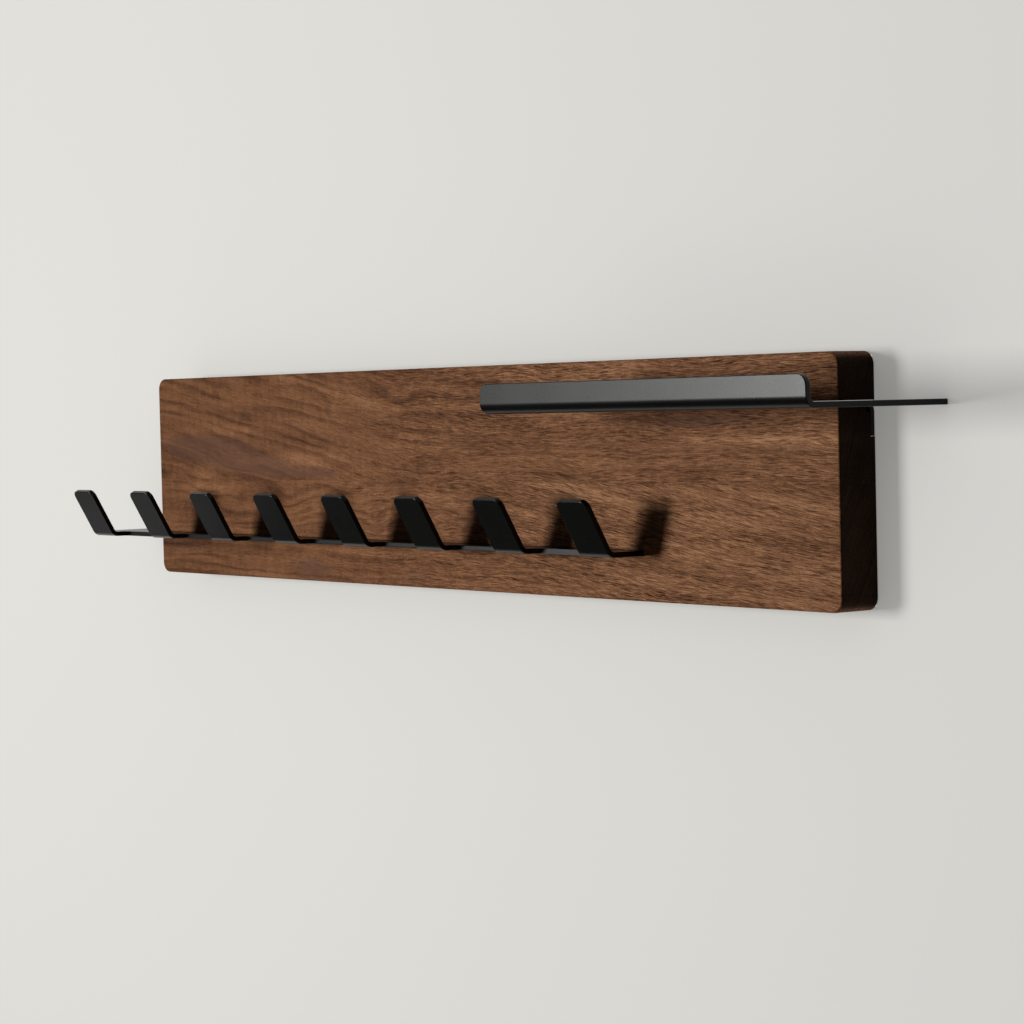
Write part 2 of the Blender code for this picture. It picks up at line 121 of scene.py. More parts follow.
# Screws, with shares of the radius, the thread's pitch or the head's depth
STRIP_SCREW_COUNT = 7
SHELF_SCREW_COUNT = 3
FLANGE_SCREW_RADIUS = 0.0021
HANGER_SCREW_RADIUS = 0.00155
SCREW_HOLE_GAP = 0.0002
HOLE_KEEP_OUT_SHARE = 1.5
HEAD_RIM = 0.0003
HEAD_RIM_EASE = HEAD_RIM / 3
HEAD_FLAT_SHARE = 0.93
THREAD_TURNS = 9
THREAD_CORE_SHARE = 0.78
THREAD_RISE_SHARE = 0.35
THREAD_END_SHARE = 0.7
POINT_PITCHES = 2
RECESS_WIDTH_SHARE = 0.22
RECESS_CUTTER_SHARE = 0.9

# Keyhole hangers
KEYHOLE_RADIUS = 0.00425
KEYHOLE_SLOT_RADIUS = 0.0022
KEYHOLE_ENTRY_HEIGHT = 0.0053
KEYHOLE_SLOT_HEIGHT = 0.0120
HANGER_CORNER_RADIUS = 0.003
HANGER_EDGE_RADIUS = 0.0002

# Noise fields run from about 0 to 1 round their middle, and seldom pass these bounds
NOISE_MIDDLE = 0.5
NOISE_LOW = 0.3
NOISE_HIGH = 0.7

# Walnut: growth layers, in millimetres
GRAIN_WANDERS = (
    # (size along x, y and z), shift, rise
    ((95.0, 40.0, 26.0), 3.1, 12.0),
    ((21.0, 14.0, 7.0), 7.7, 2.0),
    ((7.0, 5.0, 2.6), 1.3, 0.28),
)
GROWTH_THROUGH_BOARD = -3.0
FIBRE_SWELL_SHARE = 0.25
RING_WIDTH = 7.4
RING_UNEVENNESS = 4.0
RING_UNEVEN_WIDTH = 17.0
RING_UNEVEN_LENGTH = 400.0
RING_STRENGTH_STEP = 0.73
RING_STRENGTH_LENGTH = 60.0
LATE_WOOD_START = 0.25
LATE_WOOD_END = 0.78
DARK_RING_EDGE = (0.36, 0.62)
UPPER_GRAIN_BEND_X = -40.0
UPPER_GRAIN_BEND_SOFTNESS = 110.0
UPPER_GRAIN_SLOPE = 0.155
UPPER_GRAIN_DRIFT = 0.015
LOWER_GRAIN_BEND_X = 70.0
LOWER_GRAIN_BEND_SOFTNESS = 90.0
LOWER_GRAIN_SLOPE = 0.22
LOWER_GRAIN_FANNING = 0.0022
LOWER_GRAIN_DRIFT = 0.02

# Walnut: broad features, sized along x, y and z; a NOISE is its detail and roughness
BAND_WIDTH = 8.5
BAND_LENGTH = 260.0
BAND_SHIFT = 11.0
BAND_NOISE = (2.5, 0.55)
CLOUD_SIZE = (85.0, 30.0, 17.0)
CLOUD_SHIFT = 21.0
CLOUD_NOISE = (3.0, 0.55)
FIGURE_SIZE = (5.5, 9.0, 12.0)
FIGURE_SHIFT = 5.5
FIGURE_NOISE = (3.0, 0.6)
PORE_ROOM_SIZE = (60.0, 20.0, 5.0)
PORE_ROOM_SHIFT = 41.0
PORE_ROOM_EDGE = (-0.14, 0.12)
END_PORE_SIZE = (20.0, 1 / 1.9, 1 / 1.9)
END_PORE_EDGE = (0.12, 0.4)
END_PORE_CLEARANCE = (0.45, 1.0)
END_FACING_EDGE = (0.55, 0.9)

# Walnut: fine features, sized along, across and through the grain
STREAK_SIZE = (11.0, 0.62, 0.9)
STREAK_NOISE = (3.0, 0.6)
HAIR_SIZE = (5.5, 0.30, 0.4)
HAIR_NOISE = (3.0, 0.65)
FLECK_SIZE = (1.7, 0.9, 0.9)
FLECK_NOISE = (2.0, 0.6)
PORE_SIZE = (13.0, 0.72, 0.8)
PORE_EDGE = (0.20, 0.42)
LATE_WOOD_PORES = 0.10
CALM_PATCH = (170.0, 13.0, 170.0, 17.0)
CALM_DEPTH = -0.42
SOFT_END_X = -200.0
CRISP_END_X = 120.0
CRISPNESS = (0.36, 1.55)
SOFTNESS = (1.0, 0.55)

# Walnut: how much each feature lightens the wood, and its colours from dark to pale
BAND_TONE = 0.60
CLOUD_TONE = 0.45
STREAK_TONE = 0.95
HAIR_TONE = 1.05
FLECK_TONE = 0.42
FIGURE_TONE = 0.30
RING_TONE = -0.22
WOOD_TONES = (
    (0.08, (0.034, 0.012, 0.005)),
    (0.33, (0.088, 0.034, 0.013)),
    (0.55, (0.152, 0.064, 0.027)),
    (0.78, (0.235, 0.109, 0.052)),
    (1.0, (0.340, 0.178, 0.092)),
)
WOOD_PURPLE = (0.092, 0.043, 0.027)
WOOD_PORE = (0.020, 0.007, 0.003)
# End faces: end grain is darker, and painted shade darkens them much further
END_GRAIN_AND_PAINTED_SHADE = (0.125, 0.135, 0.15)
STAIN_DEPTH = 0.62
STAIN_RAGGEDNESS = 0.5
STAIN_EDGE = (0.25, 0.75)
STAIN_FOOT = (0.02, 0.3)
PORE_DEPTH = 0.56
WOOD_ROUGHNESS = 0.55
STREAK_ROUGHNESS = 0.18
PORE_ROUGHNESS = 0.2
WOOD_SPECULAR = 0.03
WOOD_RELIEF = 0.00006
STREAK_RELIEF_SHARE = 0.35
HAIR_RELIEF_SHARE = 0.2

# Powder coat and bright steel
COAT_BLACK = (0.0012, 0.0012, 0.0012)
COAT_SPECULAR = 0.16
COAT_ROUGHNESS = 0.22
GRIT_ROUGHNESS = 0.10
PATCH_ROUGHNESS = 0.04
COAT_RELIEF = 0.000008
COAT_GRIT_SIZE = 1 / 1.9
COAT_PATCH_SIZE = 20.0
SCRATCH_SIZE = (1 / 9.0, 1.25, 1.25)
SCRATCH_RELIEF = 0.00001
METAL_MOTTLE = (0.82, 1.05)
CLOUD_ROUGHNESS = 0.12
SCRATCH_ROUGHNESS = 0.08
ZINC_COLOUR = (0.60, 0.61, 0.60)
HANGER_COLOUR = (0.50, 0.50, 0.49)

# Stage
STAGE_REACH = 12.0
WALL_BACK_OFFSET = 0.0006
WALL_HOLE_INSET = 0.002
WALL_COLOUR = (0.31, 0.306, 0.294)
# Painted light: the wall glows though it is no lamp; near the rack the glow is dimmed into painted shade
WALL_GLOW = (0.37, 0.366, 0.350)
WALL_MOTTLE = (0.995, 1.005)
WALL_ROUGHNESS = 0.9
WALL_SPECULAR = 0.1
# Painted shade: how far from the rack the wall's glow is dimmed, and the share of it lost at most
PAINTED_SHADE_REACH = 0.12
PAINTED_SHADE_DEPTH = 0.5
FLOOR_Z = -2.6
FLOOR_COLOUR = (0.22, 0.216, 0.206)
FLOOR_GLOW = (0.40, 0.395, 0.38)
FLOOR_MOTTLE = (0.97, 1.03)
FLOOR_ROUGHNESS = 0.8
BACKDROP_COLOUR = (0.92, 0.94, 0.96)
BACKDROP_LIGHT = 0.085
BACKDROP_SEEN = 0.55

# Lights
KEY_AZIMUTH = math.radians(33.6)
KEY_ELEVATION = math.radians(2.2)
KEY_DISTANCE = 5.2
KEY_AIM = (-0.2, 0.0, 0.08)
KEY_SIZE = 1.35
KEY_POWER = 34.4
KEY_SPREAD = math.radians(56.0)
KEY_COLOUR = (1.0, 0.996, 0.98)
SIDE_FILL_PLACE = (-0.87, -0.185, -0.30)
SIDE_FILL_AIM = (-0.35, -0.055, -0.04)
SIDE_FILL_SIZE = 0.15
SIDE_FILL_POWER = 0.042
BACK_FILL_PLACE = (-1.2, 2.4, 1.4)
BACK_FILL_AIM = (0.0, 0.0, 0.0)
BACK_FILL_SIZE = 2.2
BACK_FILL_POWER = 150.0
WIDE_SPREAD = math.pi
WHITE = (1.0, 1.0, 1.0)

# Camera
CAMERA_PLACE = (1.34585, -1.01117, 0.04158)
CAMERA_YAW = math.radians(52.479)
CAMERA_PITCH = math.radians(-2.136)
CAMERA_ROLL = math.radians(-1.330)
CAMERA_LENS = 99.445
CAMERA_SENSOR_WIDTH = 36.0

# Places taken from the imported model
upper_low, upper_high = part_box("stave_upper")
lower_low, lower_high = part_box("stave_lower")
strip_low, strip_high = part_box("hook_strip")
shelf_low, shelf_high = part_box("shelf")
BOARD_END = upper_high.x
BOARD_THICKNESS = upper_high.y - upper_low.y
BOARD_TOP = upper_high.z
BOARD_BOTTOM = lower_low.z
GLUE_LINE_Z = (upper_low.z + lower_high.z) / 2
STRIP_START = strip_low.x
STRIP_END = strip_high.x
STRIP_Z = strip_low.z + STEEL / 2
SHELF_START = shelf_low.x
SHELF_END = shelf_high.x
SHELF_REACH = -shelf_low.y
SHELF_Z = shelf_high.z - LIP_HEIGHT + STEEL / 2
PLATE_BACK_Y = strip_high.y


# Mesh tools ----------------------------------------------------------------------------------------

workshop = bpy.data.collections.new("workshop")
bpy.context.scene.collection.children.link(workshop)


@contextmanager
def opened(mesh):
    """The mesh as a bmesh, which is written back to it at the end."""
    cage = bmesh.new()
    cage.from_mesh(mesh)
    yield cage
    cage.to_mesh(mesh)
    cage.free()


def add_to_scene(name, data):
    made = bpy.data.objects.new(name, data)
    bpy.context.scene.collection.objects.link(made)
    return made


def rectangle(low_x, low_y, high_x, high_y):
    return [(low_x, low_y), (high_x, low_y), (high_x, high_y), (low_x, high_y)]


def rounded_outline(corners):
    """Outline points from (x, y, radius) corners; each radius above zero becomes an arc."""
    points = []
    for index, (x, y, radius) in enumerate(corners):
        here = Vector((x, y))
        before = Vector(corners[index - 1][:2]) - here
        after = Vector(corners[(index + 1) % len(corners)][:2]) - here
        if radius == 0:
            points.append(here)
            continue
        half_angle = before.angle(after) / 2
        inward = (before.normalized() + after.normalized()).normalized()
        centre = here + inward * radius / math.sin(half_angle)
        first = here + before.normalized() * radius / math.tan(half_angle) - centre
        last = here + after.normalized() * radius / math.tan(half_angle) - centre
        sweep = first.angle_signed(last)
        for step in range(CORNER_STEPS + 1):
            turned = first.copy()
            turned.rotate(Matrix.Rotation(-sweep * step / CORNER_STEPS, 2))
            points.append(centre + turned)
    return points


def evaluated_mesh(shown):
    bpy.context.view_layer.update()
    graph = bpy.context.evaluated_depsgraph_get()
    return bpy.data.meshes.new_from_object(shown.evaluated_get(graph))


def extruded_outline(name, outlines, thickness):
    """Flat solid of the given outlines in the XY plane, centred on z = 0.

    Outlines after the first are holes.
    """
    curve = bpy.data.curves.new(name, "CURVE")
    curve.dimensions = "2D"
    curve.fill_mode = "BOTH"
    curve.extrude = thickness / 2
    for outline in outlines:
        spline = curve.splines.new("POLY")
        spline.points.add(len(outline) - 1)
        for point, (x, y) in zip(spline.points, outline):
            point.co = (x, y, 0.0, 1.0)
        spline.use_cyclic_u = True
    guide = bpy.data.objects.new(name + "_outline", curve)
    workshop.objects.link(guide)
    mesh = evaluated_mesh(guide)
    bpy.data.objects.remove(guide, do_unlink=True)
    bpy.data.curves.remove(curve)
    with opened(mesh) as cage:
        bmesh.ops.remove_doubles(cage, verts=cage.verts, dist=SAME_PLACE)
        bmesh.ops.recalc_face_normals(cage, faces=cage.faces)
        merge_flat_faces(cage)
    return mesh


def merge_flat_faces(cage):
    bmesh.ops.dissolve_limit(cage, angle_limit=FLAT_ANGLE, verts=cage.verts, edges=cage.edges)


def box_mesh(name, low, high):
    size = Vector(high) - Vector(low)
    middle = (Vector(low) + Vector(high)) / 2
    mesh = bpy.data.meshes.new(name)
    with opened(mesh) as cage:
        bmesh.ops.create_cube(cage, size=1.0)
        bmesh.ops.scale(cage, vec=size, verts=cage.verts)
        bmesh.ops.translate(cage, vec=middle, verts=cage.verts)
    return mesh


def turned_mesh(name, profile, sides):
    """Solid turned about Z from (radius, z) points that run from the top of the axis to its foot."""
    mesh = bpy.data.meshes.new(name)
    with opened(mesh) as cage:
        rings = []
        for radius, z in profile:
            if radius == 0:
                rings.append([cage.verts.new((0.0, 0.0, z))])
                continue
            ring = []
            for side in range(sides):
                angle = 2 * math.pi * side / sides
                ring.append(cage.verts.new((radius * math.cos(angle), radius * math.sin(angle), z)))
            rings.append(ring)
        for above, below in zip(rings, rings[1:]):
            for side in range(sides):
                following = (side + 1) % sides
                corners = [above[side % len(above)], below[side % len(below)]]
                if len(below) > 1:
                    corners.append(below[following])
                if len(above) > 1:
                    corners.append(above[following])
                cage.faces.new(corners)
        bmesh.ops.recalc_face_normals(cage, faces=cage.faces)
    return mesh


def cut_away(mesh, cutters):
    """A new mesh without material slots: the first one less the cutters. All of these are used up."""
    blank = bpy.data.objects.new(mesh.name, mesh)
    workshop.objects.link(blank)
    tools = []
    for number, cutter in enumerate(cutters):
        tool = bpy.data.objects.new(f"{mesh.name}_cutter_{number}", cutter)
        workshop.objects.link(tool)
        tools.append(tool)
        boolean = blank.modifiers.new(tool.name, "BOOLEAN")
        boolean.operation = "DIFFERENCE"
        boolean.solver = "EXACT"
        boolean.object = tool
    carved = evaluated_mesh(blank)
    carved.materials.clear()
    for spare in [blank] + tools:
        spare_mesh = spare.data
        bpy.data.objects.remove(spare, do_unlink=True)
        bpy.data.meshes.remove(spare_mesh)
    return carved


def bend(mesh, start_y, towards, turn, angle, low_x, high_x):
    """Bends flat sheet metal on z = 0 about a line along X, from low_x to high_x.

    Beyond start_y in the direction towards (-1 front, +1 back) it turns up (turn = 1) or down (turn = -1).
    """
    arc_length = MID_BEND_RADIUS * angle
    with opened(mesh) as cage:
        for step in range(BEND_STEPS + 1):
            line_y = start_y + towards * arc_length * step / BEND_STEPS
            bmesh.ops.bisect_plane(
                cage,
                geom=cage.verts[:] + cage.edges[:] + cage.faces[:],
                dist=ON_THE_LINE,
                plane_co=(0.0, line_y, 0.0),
                plane_no=(0.0, 1.0, 0.0),
            )
        for vertex in cage.verts:
            run = (vertex.co.y - start_y) * towards
            if run <= 0 or not low_x - BEND_MARGIN <= vertex.co.x <= high_x + BEND_MARGIN:
                continue
            turned = min(run, arc_length) / MID_BEND_RADIUS
            straight = max(run - arc_length, 0.0)
            radius = MID_BEND_RADIUS - vertex.co.z * turn
            forward = radius * math.sin(turned) + straight * math.cos(angle)
            rise = MID_BEND_RADIUS - radius * math.cos(turned) + straight * math.sin(angle)
            vertex.co.y = start_y + towards * forward
            vertex.co.z = turn * rise
        bmesh.ops.recalc_face_normals(cage, faces=cage.faces)
        merge_flat_faces(cage)


def mark_rounded_edges(mesh, keep_out):
    """Weights a solid's square edges for rounding, but not those near the (x, z, radius) places kept out."""
    with opened(mesh) as cage:
        weight = cage.edges.layers.float.new("bevel_weight_edge")
        for edge in cage.edges:
            if len(edge.link_faces) != 2 or edge.calc_face_angle() < ROUNDED_EDGE_ANGLE:
                continue
            middle = (edge.verts[0].co + edge.verts[1].co) / 2
            if any(math.hypot(middle.x - x, middle.z - z) < radius for x, z, radius in keep_out):
                continue
            edge[weight] = 1.0


def shade_mesh(piece, sharp_angle):
    """Shades the piece smooth, with its flat faces kept flat."""
    piece.data.shade_smooth()
    piece.data.set_sharp_from_angle(angle=sharp_angle)
    evened = piece.modifiers.new("Flat faces", "WEIGHTED_NORMAL")
    evened.keep_sharp = True
    evened.weight = FLAT_FACE_WEIGHT


def round_weighted_edges(piece, radius, steps):
    rounding = piece.modifiers.new("Rounded edges", "BEVEL")
    rounding.limit_method = "WEIGHT"
    rounding.width = radius
    rounding.segments = steps
    rounding.use_clamp_overlap = False
    rounding.miter_outer = "MITER_SHARP"


def place(name, mesh, look, slot, node, matrix=None):
    """Adds a piece that stands for a CAD node and rides with the rack."""
    piece = add_to_scene(name, mesh)
    if matrix:
        piece.matrix_world = matrix
    if not mesh.materials:
        mesh.materials.append(look)
    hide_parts(node)
    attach(piece, "root")
    return piece


# Node trees ----------------------------------------------------------------------------------------

MILLIMETRES = 1000.0
MIX_FIRST_COLOUR = 6
MIX_SECOND_COLOUR = 7
MIX_COLOUR_RESULT = 2


class Shader:
    """One material's node tree. Most methods add nodes and return their output socket."""

    def __init__(self, name):
        self.material = bpy.data.materials.new(name)
        self.material.use_nodes = True
        self.nodes = self.material.node_tree.nodes
        self.links = self.material.node_tree.links
        self.surface = self.nodes["Principled BSDF"]

    def feed(self, socket, value):
        """Links a socket or sets a number or a colour, which is given as red, green and blue."""
        if isinstance(value, bpy.types.NodeSocket):
            self.links.new(value, socket)
        elif isinstance(value, tuple):
            socket.default_value = (*value, 1.0)
        else:
            socket.default_value = value

    def finish(self, inputs):
        """Feeds the surface's inputs and returns the material."""
        for name, value in inputs.items():
            self.feed(self.surface.inputs[name], value)
        return self.material

    def add(self, kind, inputs, output=0, **settings):
        made = self.nodes.new(kind)
        for name, value in settings.items():
            setattr(made, name, value)
        for name, value in inputs.items():
            self.feed(made.inputs[name], value)
        return made.outputs[output]

    def math(self, operation, first, second=0.0):
        return self.add("ShaderNodeMath", {0: first, 1: second}, operation=operation)

    def plus(self, *values):
        total = values[0]
        for value in values[1:]:
            total = self.math("ADD", total, value)
        return total

    def times(self, first, second):
        return self.math("MULTIPLY", first, second)

    def centred(self, noise, weight):
        """The noise field moved to lie round zero, times the weight."""
        return self.times(self.plus(noise, -NOISE_MIDDLE), weight)

    def step(self, value, low, high, to_low=0.0, to_high=1.0):
        """Smooth change from to_low to to_high as value goes from low to high."""
        inputs = {"Value": value, "From Min": low, "From Max": high, "To Min": to_low, "To Max": to_high}
        return self.add("ShaderNodeMapRange", inputs, interpolation_type="SMOOTHSTEP")

    def vector(self, x, y, z):
        return self.add("ShaderNodeCombineXYZ", {"X": x, "Y": y, "Z": z})

    def split(self, vector):
        parts = self.nodes.new("ShaderNodeSeparateXYZ")
        self.links.new(vector, parts.inputs[0])
        return tuple(parts.outputs)

    def place(self):
        """The shaded point in the rack's frame."""
        return self.add("ShaderNodeTexCoord", {}, output="Object")

    def place_in_millimetres(self):
        """The x, y and z of the shaded point in the rack's frame, in millimetres."""
        inputs = {0: self.place(), "Scale": MILLIMETRES}
        return self.split(self.add("ShaderNodeVectorMath", inputs, operation="SCALE"))

    def cells(self, place, sizes):
        """The three parts of a place, each counted in cells of its size."""
        return self.vector(*(self.times(part, 1 / size) for part, size in zip(place, sizes)))

    def noise(self, vector, detail=2.0, roughness=0.5):
        inputs = {"Vector": vector, "Scale": 1.0, "Detail": detail, "Roughness": roughness}
        return self.add("ShaderNodeTexNoise", inputs)

    def cell_distance(self, vector):
        """How far a point is from the middle of its irregular cell."""
        inputs = {"Vector": vector, "Scale": 1.0, "Randomness": 1.0}
        return self.add("ShaderNodeTexVoronoi", inputs, feature="F1")

    def mix(self, factor, first, second, blend="MIX"):
        made = self.nodes.new("ShaderNodeMix")
        made.data_type = "RGBA"
        made.blend_type = blend
        self.feed(made.inputs["Factor"], factor)
        self.feed(made.inputs[MIX_FIRST_COLOUR], first)
        self.feed(made.inputs[MIX_SECOND_COLOUR], second)
        return made.outputs[MIX_COLOUR_RESULT]

    def shaded(self, colour, shade):
        return self.mix(1.0, colour, self.vector(shade, shade, shade), "MULTIPLY")

    def mottled(self, colour, noise, shades):
        """The colour times the first shade where the noise is low, up to the second where it is high."""
        return self.shaded(colour, self.step(noise, NOISE_LOW, NOISE_HIGH, *shades))

    def ramp(self, value, stops):
        made = self.nodes.new("ShaderNodeValToRGB")
        while len(made.color_ramp.elements) < len(stops):
            made.color_ramp.elements.new(0.5)
        for element, (position, colour) in zip(made.color_ramp.elements, stops):
            element.position = position
            element.color = (*colour, 1.0)
        self.feed(made.inputs["Fac"], value)
        return made.outputs["Color"]

    def bump(self, height, distance):
        return self.add("ShaderNodeBump", {"Height": height, "Distance": distance})


# Wood ----------------------------------------------------------------------------------------------


class Walnut(Shader):
    """Oiled walnut, cut flat from the log. Its grain is crisper towards the board's right end.

    A patch (x, z, width, height, strength) changes a field smoothly round one place on the board.
    """

    def __init__(self, name, seed):
        super().__init__(name)
        self.seed = seed
        self.x, self.y, self.z = self.place_in_millimetres()

    def spread(self, centre_x, centre_z, width, height):
        """One at the centre, falling smoothly to nothing about two widths and heights away."""

        def squared(part, centre, size):
            distance = self.math("ABSOLUTE", self.plus(part, -centre))
            return self.math("POWER", self.times(distance, 1 / size), 2.0)

        away = self.plus(squared(self.x, centre_x, width), squared(self.z, centre_z, height))
        return self.math("EXPONENT", self.times(away, -1.0))

    def patched(self, field, patches):
        for centre_x, centre_z, width, height, strength in patches:
            field = self.plus(field, self.times(self.spread(centre_x, centre_z, width, height), strength))
        return field

    def centred_noise(self, sizes, shift, detail=2.0, roughness=0.5):
        """Noise round zero, with sizes along x, y and z."""
        x_size, y_size, z_size = sizes
        where = self.vector(
            self.plus(self.times(self.x, 1 / x_size), self.seed + shift),
            self.times(self.y, 1 / y_size),
            self.times(self.z, 1 / z_size),
        )
        return self.plus(self.noise(where, detail, roughness), -NOISE_MIDDLE)

    def lay_grain(self, rise, swells):
        """Sets out the growth layers and the fibres, which follow them but swell less."""
        grain = self.plus(self.z, rise)
        for sizes, shift, wander in GRAIN_WANDERS:
            grain = self.plus(grain, self.times(self.centred_noise(sizes, shift), wander))
        swelling = self.patched(0.0, swells)
        self.growth = self.plus(grain, swelling, self.times(self.y, GROWTH_THROUGH_BOARD))
        self.fibre = self.plus(grain, self.times(swelling, FIBRE_SWELL_SHARE))

    def draw_rings(self):
        """Growth rings: pale early wood, darkening late wood and a quick edge, unlike in strength."""
        uneven_place = self.vector(
            self.times(self.growth, 1 / RING_UNEVEN_WIDTH),
            self.seed,
            self.times(self.x, 1 / RING_UNEVEN_LENGTH),
        )
        uneven = self.noise(uneven_place, 1.0)
        ring_place = self.plus(
            self.times(self.growth, 1 / RING_WIDTH), self.times(uneven, RING_UNEVENNESS)
        )
        phase = self.math("FRACT", ring_place)
        number = self.math("FLOOR", ring_place)
        late_wood = self.step(phase, LATE_WOOD_START, LATE_WOOD_END)
        ring_edge = self.step(phase, LATE_WOOD_END, 1.0, 1.0, 0.0)
        self.ring = self.times(late_wood, ring_edge)
        strength_place = self.vector(
            self.times(number, RING_STRENGTH_STEP),
            self.plus(self.times(self.x, 1 / RING_STRENGTH_LENGTH), self.seed),
            0.0,
        )
        strength = self.step(self.noise(strength_place), *DARK_RING_EDGE)
        self.dark_ring = self.times(self.ring, strength)

    def draw_features(self):
        """Broad bands and clouds, fine streaks, hairs and pores along the fibres, and how crisp they are."""
        band_place = self.vector(
            self.times(self.growth, 1 / BAND_WIDTH),
            self.times(self.x, 1 / BAND_LENGTH),
            self.seed + BAND_SHIFT,
        )
        self.band = self.noise(band_place, *BAND_NOISE)
        self.cloud = self.centred_noise(CLOUD_SIZE, CLOUD_SHIFT, *CLOUD_NOISE)
        along_fibres = (self.x, self.fibre, self.y)
        self.streak = self.noise(self.cells(along_fibres, STREAK_SIZE), *STREAK_NOISE)
        self.hair = self.noise(self.cells(along_fibres, HAIR_SIZE), *HAIR_NOISE)
        self.pore_distance = self.cell_distance(self.cells(along_fibres, PORE_SIZE))
        calm = self.plus(self.times(self.spread(*CALM_PATCH), CALM_DEPTH), 1.0)
        self.crispness = self.times(self.step(self.x, SOFT_END_X, CRISP_END_X, *CRISPNESS), calm)
        self.softness = self.step(self.x, SOFT_END_X, CRISP_END_X, *SOFTNESS)

    def toned(self, lit_zones):
        """The wood's colour with painted light and shade from the lit zones, before stains and pores."""
        fleck = self.noise(self.cells((self.x, self.z, self.y), FLECK_SIZE), *FLECK_NOISE)
        figure = self.centred_noise(FIGURE_SIZE, FIGURE_SHIFT, *FIGURE_NOISE)
        tone = self.plus(
            self.centred(self.band, BAND_TONE),
            self.times(self.cloud, CLOUD_TONE),
            self.times(self.centred(self.streak, STREAK_TONE), self.crispness),
            self.times(self.centred(self.hair, HAIR_TONE), self.crispness),
            self.centred(fleck, FLECK_TONE),
            self.times(self.times(figure, FIGURE_TONE), self.softness),
            NOISE_MIDDLE,
        )
        # Painted light and shade: the lit zones lighten or darken patches of the wood
        tone = self.patched(tone, lit_zones)
        tone = self.plus(tone, self.times(self.times(self.dark_ring, RING_TONE), self.softness))
        return self.ramp(tone, WOOD_TONES)

    def stained(self, colour, stains):
        """Purple stains with ragged edges."""
        stain = self.patched(0.0, stains)
        ragged = self.plus(
            stain,
            self.centred(self.band, STAIN_RAGGEDNESS),
            self.times(self.cloud, STAIN_RAGGEDNESS),
        )
        stain = self.times(self.step(ragged, *STAIN_EDGE), self.step(stain, *STAIN_FOOT))
        return self.mix(self.times(stain, STAIN_DEPTH), colour, WOOD_PURPLE)

    def pored(self, colour):
        """Long dark pores, crowded in some places and along the rings' late wood."""
        room = self.centred_noise(PORE_ROOM_SIZE, PORE_ROOM_SHIFT)
        self.pore = self.times(
            self.step(self.pore_distance, *PORE_EDGE, 1.0, 0.0),
            self.step(self.plus(room, self.times(self.ring, LATE_WOOD_PORES)), *PORE_ROOM_EDGE),
        )
        return self.mix(self.times(self.times(self.pore, PORE_DEPTH), self.crispness), colour, WOOD_PORE)

    def end_grain_with_painted_shade(self, colour):
        """Dark end grain with round pores on the faces that look along the board, darkened much further with
        painted shade.
        """
        facing = self.nodes.new("ShaderNodeNewGeometry").outputs["Normal"]
        along_board = self.math("ABSOLUTE", self.split(facing)[0])
        pores = self.cell_distance(self.cells((self.x, self.y, self.z), END_PORE_SIZE))
        clear_of_pores = self.step(pores, *END_PORE_EDGE, *END_PORE_CLEARANCE)
        # Painted shade: the end faces are darkened far beyond the end grain's own darkness
        end_colour = self.mix(1.0, colour, END_GRAIN_AND_PAINTED_SHADE, "MULTIPLY")
        end_colour = self.mix(self.math("SUBTRACT", 1.0, clear_of_pores), end_colour, WOOD_PORE)
        return self.mix(self.step(along_board, *END_FACING_EDGE), colour, end_colour)


def walnut(name, grain_rise, swells, stains, lit_zones, seed):
    """Walnut for one stave of the board.

    grain_rise(wood) is how far the grain lines climb along the board. The swells are patches that lift the
    growth layers towards the face, which draws rings there. The stains are patches of purple wood, and the
    lit zones are patches of painted light that lighten the wood, or of painted shade that darken it where
    their strength is below zero.
    """
    wood = Walnut(name, seed)
    wood.lay_grain(grain_rise(wood), swells)
    wood.draw_rings()
    wood.draw_features()
    colour = wood.end_grain_with_painted_shade(wood.pored(wood.stained(wood.toned(lit_zones), stains)))
    roughness = wood.plus(
        wood.centred(wood.streak, STREAK_ROUGHNESS),
        wood.times(wood.pore, PORE_ROUGHNESS),
        WOOD_ROUGHNESS,
    )
    relief = wood.plus(
        wood.times(wood.pore, -1.0),
        wood.times(wood.streak, STREAK_RELIEF_SHARE),
        wood.times(wood.hair, HAIR_RELIEF_SHARE),
    )
    return wood.finish(
        {
            "Base Color": colour,
            "Roughness": roughness,
            "Specular IOR Level": WOOD_SPECULAR,
            "Normal": wood.bump(relief, WOOD_RELIEF),
        }
    )


def bent_line(wood, from_x, softness, operation):
    """Smooth minimum or maximum of zero and the distance along the board from from_x."""
    inputs = {0: wood.plus(wood.x, -from_x), 1: 0.0, 2: softness}
    return wood.add("ShaderNodeMath", inputs, operation=operation)


def upper_grain_rise(wood):
    left_end = bent_line(wood, UPPER_GRAIN_BEND_X, UPPER_GRAIN_BEND_SOFTNESS, "SMOOTH_MIN")
    return wood.plus(wood.times(left_end, UPPER_GRAIN_SLOPE), wood.times(wood.x, UPPER_GRAIN_DRIFT))


def lower_grain_rise(wood):
    right_end = bent_line(wood, LOWER_GRAIN_BEND_X, LOWER_GRAIN_BEND_SOFTNESS, "SMOOTH_MAX")
    slope = wood.plus(wood.times(wood.z, LOWER_GRAIN_FANNING), LOWER_GRAIN_SLOPE)
    return wood.plus(wood.times(right_end, slope), wood.times(wood.x, LOWER_GRAIN_DRIFT))


